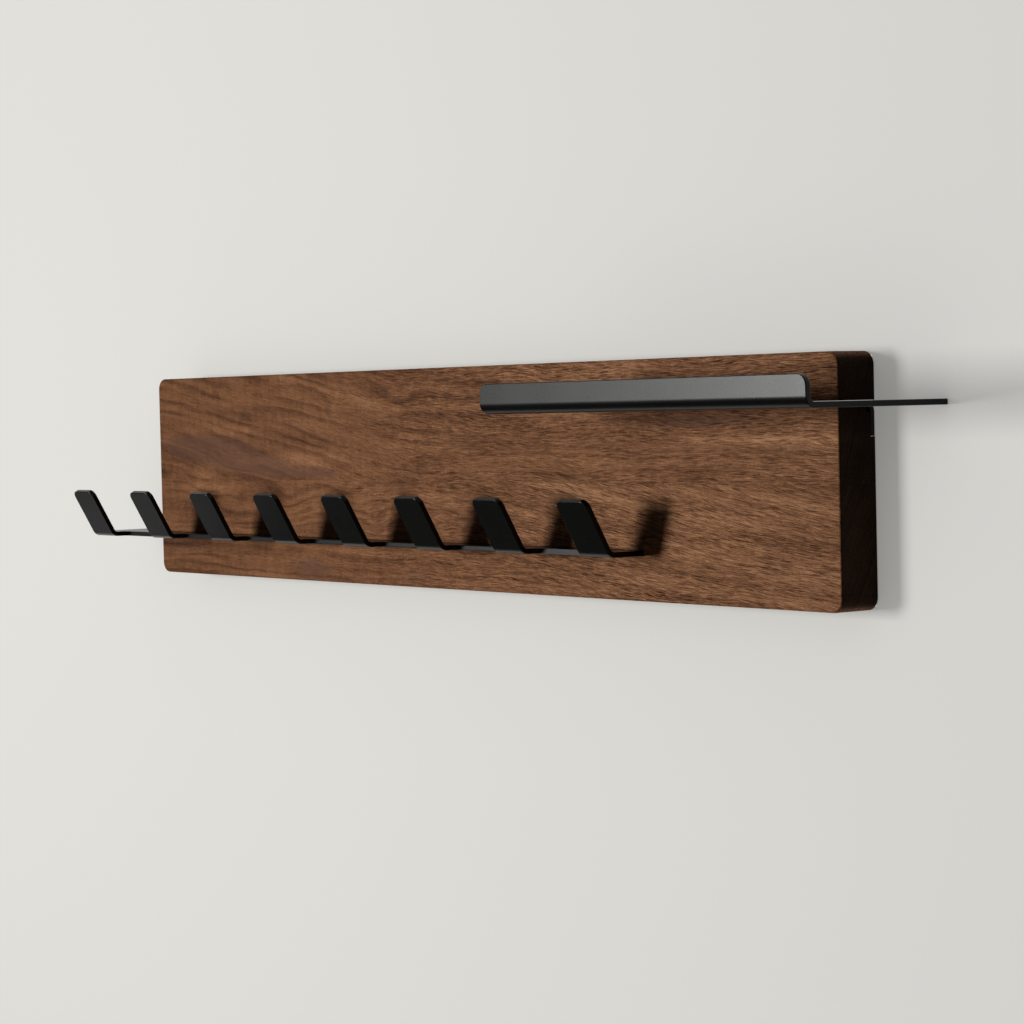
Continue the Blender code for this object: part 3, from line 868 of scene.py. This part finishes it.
upper_walnut = walnut(
    "oiled_walnut_upper",
    upper_grain_rise,
    swells=[(-47.0, 49.0, 13.0, 8.0, 8.0), (-230.0, 6.0, 34.0, 9.0, 5.0), (175.0, 17.0, 26.0, 9.0, 3.0)],
    stains=[
        (-275.0, 19.0, 54.0, 11.0, 1.1),
        (-212.0, 9.0, 38.0, 8.0, 0.9),
        (-150.0, 3.0, 46.0, 4.0, 0.9),
        (178.0, 20.0, 14.0, 6.0, 0.5),
        (225.0, 32.0, 60.0, 4.0, 0.8),
    ],
    # Painted light and shade on the upper stave
    lit_zones=[
        (-140.0, 11.0, 50.0, 5.0, 0.13),
        (-250.0, 30.0, 45.0, 4.0, 0.17),
        (-300.0, 0.0, 130.0, 120.0, -0.05),
        (265.0, 21.5, 70.0, 2.6, 0.30),
        (200.0, 0.0, 130.0, 60.0, 0.05),
    ],
    seed=4.0,
)
lower_walnut = walnut(
    "oiled_walnut_lower",
    lower_grain_rise,
    swells=[
        (-268.0, -8.0, 24.0, 6.0, 5.0),
        (-172.0, -17.0, 20.0, 13.0, 9.0),
        (-106.0, -9.0, 15.0, 8.0, 6.0),
        (-72.0, -30.0, 16.0, 8.0, 6.0),
        (130.0, -26.0, 60.0, 14.0, 4.0),
    ],
    stains=[(-146.0, -58.0, 24.0, 8.0, 0.8), (-40.0, -58.0, 60.0, 4.0, 0.4)],
    # Painted light and shade on the lower stave
    lit_zones=[
        (-272.0, -7.5, 30.0, 4.5, 0.30),
        (-300.0, -20.0, 130.0, 120.0, -0.05),
        (-60.0, -20.0, 60.0, 10.0, 0.05),
        (220.0, -30.0, 150.0, 60.0, 0.14),
    ],
    seed=9.0,
)


# Coat and bright metal -----------------------------------------------------------------------------


def powder_coat():
    coat = Shader("black_powder_coat")
    place_on_coat = coat.place_in_millimetres()
    grit = coat.noise(coat.cells(place_on_coat, (COAT_GRIT_SIZE,) * 3))
    patch = coat.noise(coat.cells(place_on_coat, (COAT_PATCH_SIZE,) * 3))
    unevenness = coat.plus(coat.times(grit, GRIT_ROUGHNESS), coat.times(patch, PATCH_ROUGHNESS))
    roughness = coat.plus(unevenness, COAT_ROUGHNESS)
    return coat.finish(
        {
            "Base Color": COAT_BLACK,
            "Roughness": roughness,
            "Specular IOR Level": COAT_SPECULAR,
            "Normal": coat.bump(grit, COAT_RELIEF),
        }
    )


def plated(name, colour, cloud_size, roughness):
    """Bright metal with a faint crystalline cloudiness and fine scratches."""
    metal = Shader(name)
    place_on_metal = metal.place_in_millimetres()
    cloud = metal.noise(metal.cells(place_on_metal, (cloud_size,) * 3), 3.0)
    scratch = metal.noise(metal.cells(place_on_metal, SCRATCH_SIZE))
    worn = metal.plus(
        metal.times(cloud, CLOUD_ROUGHNESS),
        metal.times(scratch, SCRATCH_ROUGHNESS),
        roughness - NOISE_MIDDLE * (CLOUD_ROUGHNESS + SCRATCH_ROUGHNESS),
    )
    return metal.finish(
        {
            "Base Color": metal.mottled(colour, cloud, METAL_MOTTLE),
            "Metallic": 1.0,
            "Roughness": worn,
            "Normal": metal.bump(scratch, SCRATCH_RELIEF),
        }
    )


coat_look = powder_coat()
zinc_look = plated("zinc_plated_steel", ZINC_COLOUR, cloud_size=1.6, roughness=0.34)
hanger_look = plated("bright_pressed_steel", HANGER_COLOUR, cloud_size=4.0, roughness=0.38)


# Board ---------------------------------------------------------------------------------------------


def slot_cutters(name, plate_z, turn, low_x, high_x):
    """Slot, bend room and flange rebate of one plate; the flange turns up (1) or down (-1)."""
    heel_z = plate_z + turn * (OUTER_BEND_RADIUS - STEEL / 2)
    far_z = plate_z + turn * (FLANGE_HEIGHT - STEEL / 2 + SLOT_RUNOUT)
    hollows = {
        "slot": (-BOARD_THICKNESS - CUTTER_MARGIN, plate_z - SLOT_HALF_HEIGHT, plate_z + SLOT_HALF_HEIGHT),
        "bend_room": (BEND_ROOM_Y, min(plate_z, heel_z), max(plate_z, heel_z)),
        "rebate": (REBATE_Y, min(plate_z, far_z), max(plate_z, far_z)),
    }
    return [
        box_mesh(f"{name}_{part}", (low_x, front_y, low_z), (high_x, CUTTER_MARGIN, high_z))
        for part, (front_y, low_z, high_z) in hollows.items()
    ]


def hanger_cutters(name):
    """Recess for a hanger plate, and the deeper pocket behind its keyhole for the wall screw's head."""
    low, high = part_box(name)
    gap = HANGER_RECESS_CLEARANCE
    middle_x = (low.x + high.x) / 2
    recess = box_mesh(
        name + "_recess",
        (low.x - gap, low.y - gap, low.z - gap),
        (high.x + gap, CUTTER_MARGIN, high.z + gap),
    )
    pocket = box_mesh(
        name + "_pocket",
        (middle_x - HEAD_POCKET_WIDTH / 2, low.y - gap - HEAD_POCKET_DEPTH, low.z + gap),
        (middle_x + HEAD_POCKET_WIDTH / 2, CUTTER_MARGIN, high.z - gap),
    )
    return [recess, pocket]


def stave_blank(name, glued_z, free_z):
    """Stave with rounded outer corners and eased edges, square along the glue line."""
    corners = [
        (-BOARD_END, glued_z, 0),
        (BOARD_END, glued_z, 0),
        (BOARD_END, free_z, BOARD_CORNER_RADIUS),
        (-BOARD_END, free_z, BOARD_CORNER_RADIUS),
    ]
    mesh = extruded_outline(name, [rounded_outline(corners)], BOARD_THICKNESS)
    mesh.transform(Matrix.Translation((0.0, -BOARD_THICKNESS / 2, 0.0)) @ UPRIGHT)
    ease_edges(mesh, -BOARD_THICKNESS, glued_z, BOARD_EASED_EDGE)
    ease_edges(mesh, 0.0, glued_z, BOARD_BACK_EASE)
    return mesh


def ease_edges(mesh, face_y, glued_z, radius):
    """Rounds the outer edges of the face at face_y, but not the one along the glue line."""
    with opened(mesh) as cage:
        eased = [
            edge
            for edge in cage.edges
            if all(abs(vertex.co.y - face_y) < SAME_PLACE for vertex in edge.verts)
            and not all(abs(vertex.co.z - glued_z) < SAME_PLACE for vertex in edge.verts)
            and len(edge.link_faces) == 2
            and edge.calc_face_angle() > ROUNDED_EDGE_ANGLE
        ]
        bmesh.ops.bevel(
            cage,
            geom=eased,
            offset=radius,
            segments=EASED_EDGE_STEPS,
            profile=0.5,
            affect="EDGES",
            clamp_overlap=True,
        )
        bmesh.ops.recalc_face_normals(cage, faces=cage.faces)


def add_stave(node, glued_z, free_z, cutters, look):
    name = "walnut_" + node
    mesh = cut_away(stave_blank(name, glued_z, free_z), cutters)
    shade_mesh(place(name, mesh, look, "walnut", node), SHARP_ANGLE)


shelf_slot = slot_cutters("shelf", SHELF_Z, -1, SHELF_START - SLOT_CLEARANCE, BOARD_END + CUTTER_MARGIN)
hangers = hanger_cutters("hanger_left") + hanger_cutters("hanger_right")
strip_slot = slot_cutters("strip", STRIP_Z, 1, -BOARD_END - CUTTER_MARGIN, STRIP_END + SLOT_CLEARANCE)
add_stave("stave_upper", GLUE_LINE_Z + GLUE_JOINT / 2, BOARD_TOP, shelf_slot + hangers, upper_walnut)
add_stave("stave_lower", GLUE_LINE_Z - GLUE_JOINT / 2, BOARD_BOTTOM, strip_slot, lower_walnut)


# Sheet steel ---------------------------------------------------------------------------------------


def sink_cutter(name, x, z, face_y, radius, head_radius):
    """Cutter for a countersunk screw hole, entered from the back face at face_y."""
    hole = radius + SCREW_HOLE_GAP
    mouth = head_radius + SCREW_HOLE_GAP
    profile = [
        (0.0, CUTTER_MARGIN),
        (mouth, CUTTER_MARGIN),
        (mouth, -HEAD_RIM),
        (hole, -(mouth - hole) - HEAD_RIM),
        (hole, -STEEL - CUTTER_MARGIN),
        (0.0, -STEEL - CUTTER_MARGIN),
    ]
    mesh = turned_mesh(name, profile, SCREW_SIDES)
    mesh.transform(Matrix.Translation((x, face_y, z)) @ FACING_BACK)
    return mesh


def sunk(mesh, screw_nodes, radius, face_y):
    """The mesh with countersunk holes for the named screws, its edges weighted except round the holes."""
    cutters = []
    holes = []
    for node in screw_nodes:
        low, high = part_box(node)
        middle = (low + high) / 2
        head_radius = (high.x - low.x) / 2
        cutters.append(sink_cutter(node + "_sink", middle.x, middle.z, face_y, radius, head_radius))
        holes.append((middle.x, middle.z, head_radius * HOLE_KEEP_OUT_SHARE))
    carved = cut_away(mesh, cutters)
    mark_rounded_edges(carved, holes)
    return carved


def hook_strip_mesh():
    """Hook strip: flat blank with hook tabs in front and a flange behind, then bent."""
    web_y = -BOARD_THICKNESS - WEB_REACH
    tangent = OUTER_BEND_RADIUS * math.tan(HOOK_BEND_ANGLE / 2)
    bend_y = -BOARD_THICKNESS - HOOK_CORNER_REACH + tangent
    tip_y = bend_y - MID_BEND_RADIUS * HOOK_BEND_ANGLE - (HOOK_LENGTH - tangent)
    flange_start = -BOARD_END + SLOT_RUNOUT

    corners = [(STRIP_START, PLATE_BACK_Y, PLATE_CORNER_RADIUS)]
    for index in range(HOOK_COUNT):
        left = STRIP_START + index * HOOK_PITCH
        right = left + HOOK_WIDTH
        if index > 0:
            corners.append((left, web_y, WEB_FILLET))
        corners.append((left, tip_y, HOOK_TIP_RADIUS))
        corners.append((right, tip_y, HOOK_TIP_RADIUS))
        if index < HOOK_COUNT - 1:
            corners.append((right, web_y, WEB_FILLET))
    corners.append((STRIP_END, FLANGE_FREE_Y, FLANGE_CORNER_RADIUS))
    corners.append((flange_start, FLANGE_FREE_Y, FLANGE_CORNER_RADIUS))
    corners.append((flange_start, RELIEF_ROOT_Y, 0))
    corners.append((flange_start - RELIEF_WIDTH, RELIEF_ROOT_Y, 0))
    corners.append((flange_start - RELIEF_WIDTH, PLATE_BACK_Y, 0))

    mesh = extruded_outline("coated_hook_strip", [rounded_outline(corners)], STEEL)
    bend(mesh, bend_y, -1, 1, HOOK_BEND_ANGLE, STRIP_START, STRIP_END)
    bend(mesh, FLANGE_BEND_Y, 1, 1, QUARTER_TURN, flange_start, STRIP_END)
    mesh.transform(Matrix.Translation((0.0, 0.0, STRIP_Z)))
    return mesh


def shelf_mesh():
    """Shelf: flat blank with a lip in front and a flange behind, then bent."""
    bend_y = -SHELF_REACH + OUTER_BEND_RADIUS
    tip_y = bend_y - MID_BEND_RADIUS * LIP_BEND_ANGLE - (LIP_HEIGHT - OUTER_BEND_RADIUS)
    flange_end = BOARD_END - SLOT_RUNOUT

    corners = [
        (SHELF_START, tip_y, LIP_CORNER_RADIUS),
        (SHELF_END, tip_y, LIP_CORNER_RADIUS),
        (SHELF_END, PLATE_BACK_Y, PLATE_CORNER_RADIUS),
        (flange_end + RELIEF_WIDTH, PLATE_BACK_Y, 0),
        (flange_end + RELIEF_WIDTH, RELIEF_ROOT_Y, 0),
        (flange_end, RELIEF_ROOT_Y, 0),
        (flange_end, FLANGE_FREE_Y, 0),
        (SHELF_START, FLANGE_FREE_Y, FLANGE_CORNER_RADIUS),
    ]
    mesh = extruded_outline("coated_shelf", [rounded_outline(corners)], STEEL)
    bend(mesh, bend_y, -1, 1, LIP_BEND_ANGLE, SHELF_START, SHELF_END)
    bend(mesh, FLANGE_BEND_Y, 1, -1, QUARTER_TURN, SHELF_START, flange_end)
    mesh.transform(Matrix.Translation((0.0, 0.0, SHELF_Z)))
    return mesh


def add_plate(mesh, node, screw_nodes):
    mesh = sunk(mesh, screw_nodes, FLANGE_SCREW_RADIUS, -FLANGE_SETBACK)
    plate = place("coated_" + node, mesh, coat_look, "powder_coat", node)
    round_weighted_edges(plate, COAT_EDGE_RADIUS, COAT_EDGE_STEPS)
    shade_mesh(plate, SHARP_ANGLE_WHEN_ROUNDED)


strip_screws = [f"strip_screw_{number + 1}" for number in range(STRIP_SCREW_COUNT)]
shelf_screws = [f"shelf_screw_{number + 1}" for number in range(SHELF_SCREW_COUNT)]
add_plate(hook_strip_mesh(), "hook_strip", strip_screws)
add_plate(shelf_mesh(), "shelf", shelf_screws)


# Screws and hangers --------------------------------------------------------------------------------


def screw_mesh(name, radius, head_radius, length):
    """Countersunk wood screw along -Z: crowned rim, cone, threaded shank, point and cross recess."""
    head_depth = head_radius - radius + HEAD_RIM
    core_radius = radius * THREAD_CORE_SHARE
    ridge_pitch = length / THREAD_TURNS
    profile = [
        (0.0, 0.0),
        (head_radius * HEAD_FLAT_SHARE, 0.0),
        (head_radius - HEAD_RIM_EASE, -HEAD_RIM_EASE / 2),
        (head_radius, -HEAD_RIM_EASE),
        (head_radius, -HEAD_RIM),
        (core_radius, -head_depth),
    ]
    z = -head_depth - ridge_pitch
    while z > -length + POINT_PITCHES * ridge_pitch:
        profile.append((core_radius, z))
        profile.append((radius, z - ridge_pitch * THREAD_RISE_SHARE))
        z -= ridge_pitch
    profile.append((radius * THREAD_END_SHARE, z))
    profile.append((0.0, -length))
    mesh = turned_mesh(name, profile, SCREW_SIDES)
    recess_height = head_depth * RECESS_CUTTER_SHARE
    recess_width = head_radius * RECESS_WIDTH_SHARE
    arms = []
    for number, (x, y) in enumerate(((head_radius, recess_width), (recess_width, head_radius))):
        half = Vector((x, y, recess_height)) / 2
        arms.append(box_mesh(f"{name}_arm_{number}", -half, half))
    return cut_away(mesh, arms)


def add_screws(prefix, nodes, radius):
    """Adds alike screws that share one mesh, heads to the back."""
    shared = None
    for node in nodes:
        low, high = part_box(node)
        middle = (low + high) / 2
        if shared is None:
            shared = screw_mesh(prefix, radius, (high.x - low.x) / 2, high.y - low.y)
            shared.shade_smooth()
            shared.set_sharp_from_angle(angle=SCREW_SHARP_ANGLE)
        matrix = Matrix.Translation((middle.x, high.y, middle.z)) @ FACING_BACK
        place("zinc_" + node, shared, zinc_look, "zinc", node, matrix)


hanger_screws = [f"hanger_{side}_screw_{end}" for side in ("left", "right") for end in ("left", "right")]
add_screws("flange_screw", strip_screws + shelf_screws, FLANGE_SCREW_RADIUS)
add_screws("hanger_screw", hanger_screws, HANGER_SCREW_RADIUS)


def keyhole_outline(bottom_z):
    """Round entry at the bottom, narrow slot with a round end above it."""
    entry_z = bottom_z + KEYHOLE_ENTRY_HEIGHT
    slot_z = bottom_z + KEYHOLE_SLOT_HEIGHT
    neck = math.asin(KEYHOLE_SLOT_RADIUS / KEYHOLE_RADIUS)
    points = []
    entry_steps = 4 * CORNER_STEPS
    for step in range(entry_steps + 1):
        angle = math.pi / 2 + neck + (2 * math.pi - 2 * neck) * step / entry_steps
        points.append((KEYHOLE_RADIUS * math.cos(angle), entry_z + KEYHOLE_RADIUS * math.sin(angle)))
    slot_steps = 2 * CORNER_STEPS
    for step in range(slot_steps + 1):
        angle = math.pi * step / slot_steps
        rise = KEYHOLE_SLOT_RADIUS * math.sin(angle)
        points.append((KEYHOLE_SLOT_RADIUS * math.cos(angle), slot_z + rise))
    return points


def add_hanger(node):
    """Keyhole hanger plate let into the board's back."""
    name = "pressed_" + node
    low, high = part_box(node)
    half_width = (high.x - low.x) / 2
    sides = rectangle(-half_width, low.z, half_width, high.z)
    corners = [(x, z, HANGER_CORNER_RADIUS) for x, z in sides]
    outlines = [rounded_outline(corners), keyhole_outline(low.z)]
    mesh = extruded_outline(name, outlines, high.y - low.y)
    middle = (low + high) / 2
    mesh.transform(Matrix.Translation((middle.x, middle.y, 0.0)) @ UPRIGHT)
    screws = [screw for screw in hanger_screws if screw.startswith(node)]
    mesh = sunk(mesh, screws, HANGER_SCREW_RADIUS, high.y)
    plate = place(name, mesh, hanger_look, "hanger_steel", node)
    round_weighted_edges(plate, HANGER_EDGE_RADIUS, HANGER_EDGE_STEPS)
    shade_mesh(plate, SHARP_ANGLE_WHEN_ROUNDED)


add_hanger("hanger_left")
add_hanger("hanger_right")


# Stage ---------------------------------------------------------------------------------------------


def add_stage(name, points, faces, look):
    mesh = bpy.data.meshes.new(name)
    mesh.from_pydata(points, [], faces)
    mesh.materials.append(look)
    add_to_scene(name, mesh)


def wall_paint():
    """Pale matt paint that glows with painted light, dimmed to painted shade near the rack; seen from the
    room only: from behind, the wall lets the view through.
    """
    paint = Shader("wall_paint")
    mottle = paint.noise(paint.place())
    # Painted shade: ambient occlusion dims the wall's glow close to the rack
    occlusion_shade = paint.add("ShaderNodeAmbientOcclusion", {"Distance": PAINTED_SHADE_REACH}, output="AO")
    dimmed = paint.plus(paint.times(occlusion_shade, PAINTED_SHADE_DEPTH), 1 - PAINTED_SHADE_DEPTH)
    clear = paint.nodes.new("ShaderNodeBsdfTransparent")
    behind = paint.nodes.new("ShaderNodeNewGeometry").outputs["Backfacing"]
    choice = paint.add(
        "ShaderNodeMixShader", {0: behind, 1: paint.surface.outputs[0], 2: clear.outputs[0]}
    )
    paint.feed(paint.nodes["Material Output"].inputs["Surface"], choice)
    return paint.finish(
        {
            "Base Color": paint.mottled(WALL_COLOUR, mottle, WALL_MOTTLE),
            "Roughness": WALL_ROUGHNESS,
            "Specular IOR Level": WALL_SPECULAR,
            # Painted light: the wall's glow, dimmed to painted shade near the rack
            "Emission Color": paint.shaded(WALL_GLOW, dimmed),
            "Emission Strength": 1.0,
        }
    )


def add_wall():
    """Wall plane with a hole behind the board, so that the board's back can be seen."""
    half_x = BOARD_END - WALL_HOLE_INSET
    half_z = BOARD_TOP - WALL_HOLE_INSET
    outside = rectangle(-STAGE_REACH, -STAGE_REACH, STAGE_REACH, STAGE_REACH)
    inside = rectangle(-half_x, -half_z, half_x, half_z)
    points = [(x, WALL_BACK_OFFSET, z) for x, z in outside + inside]
    faces = [(0, 1, 5, 4), (1, 2, 6, 5), (2, 3, 7, 6), (3, 0, 4, 7)]
    add_stage("wall", points, faces, wall_paint())


def floor_paint():
    """Pale floor that looks bright to the camera but adds little light to the rack."""
    paint = Shader("pale_floor")
    mottle = paint.noise(paint.place(), 3.0)
    return paint.finish(
        {
            "Base Color": paint.mottled(FLOOR_COLOUR, mottle, FLOOR_MOTTLE),
            "Roughness": FLOOR_ROUGHNESS,
            "Emission Color": FLOOR_GLOW,
            "Emission Strength": paint.add("ShaderNodeLightPath", {}, output="Is Camera Ray"),
        }
    )


def add_floor():
    corners = rectangle(-STAGE_REACH, -STAGE_REACH, STAGE_REACH, STAGE_REACH)
    points = [(x, y, FLOOR_Z) for x, y in corners]
    add_stage("floor", points, [(0, 1, 2, 3)], floor_paint())


def add_area_light(name, place_at, aim, size, power, spread=WIDE_SPREAD, colour=WHITE):
    light = bpy.data.lights.new(name, "AREA")
    light.shape = "SQUARE"
    light.size = size
    light.energy = power
    light.spread = spread
    light.color = colour
    lamp = add_to_scene(name, light)
    lamp.location = place_at
    lamp.rotation_euler = (Vector(aim) - Vector(place_at)).to_track_quat("-Z", "Y").to_euler()


def add_backdrop():
    """Pale surroundings that look bright behind the rack but add little light to it."""
    world = bpy.data.worlds.new("studio")
    world.use_nodes = True
    nodes = world.node_tree.nodes
    links = world.node_tree.links
    bright = nodes.new("ShaderNodeBackground")
    for background, strength in ((nodes["Background"], BACKDROP_LIGHT), (bright, BACKDROP_SEEN)):
        background.inputs["Color"].default_value = (*BACKDROP_COLOUR, 1.0)
        background.inputs["Strength"].default_value = strength
    choice = nodes.new("ShaderNodeMixShader")
    links.new(nodes.new("ShaderNodeLightPath").outputs["Is Camera Ray"], choice.inputs[0])
    links.new(nodes["Background"].outputs[0], choice.inputs[1])
    links.new(bright.outputs[0], choice.inputs[2])
    links.new(choice.outputs[0], nodes["World Output"].inputs["Surface"])
    bpy.context.scene.world = world


add_wall()
add_floor()
key_place = (
    -KEY_DISTANCE * math.cos(KEY_ELEVATION) * math.sin(KEY_AZIMUTH),
    -KEY_DISTANCE * math.cos(KEY_ELEVATION) * math.cos(KEY_AZIMUTH),
    KEY_DISTANCE * math.sin(KEY_ELEVATION),
)
add_area_light("key", key_place, KEY_AIM, KEY_SIZE, KEY_POWER, KEY_SPREAD, KEY_COLOUR)
add_area_light("side_fill", SIDE_FILL_PLACE, SIDE_FILL_AIM, SIDE_FILL_SIZE, SIDE_FILL_POWER)
add_area_light("back_fill", BACK_FILL_PLACE, BACK_FILL_AIM, BACK_FILL_SIZE, BACK_FILL_POWER)
add_backdrop()
bpy.context.scene.view_settings.view_transform = "Standard"


# Camera --------------------------------------------------------------------------------------------

camera_data = bpy.data.cameras.new("camera")
camera_data.lens = CAMERA_LENS
camera_data.sensor_width = CAMERA_SENSOR_WIDTH
camera_data.dof.use_dof = False
camera = add_to_scene("camera", camera_data)
aim = Matrix.Rotation(CAMERA_YAW, 4, "Z") @ Matrix.Rotation(math.pi / 2 + CAMERA_PITCH, 4, "X")
camera.matrix_world = Matrix.Translation(CAMERA_PLACE) @ aim @ Matrix.Rotation(CAMERA_ROLL, 4, "Z")
bpy.context.scene.camera = camera
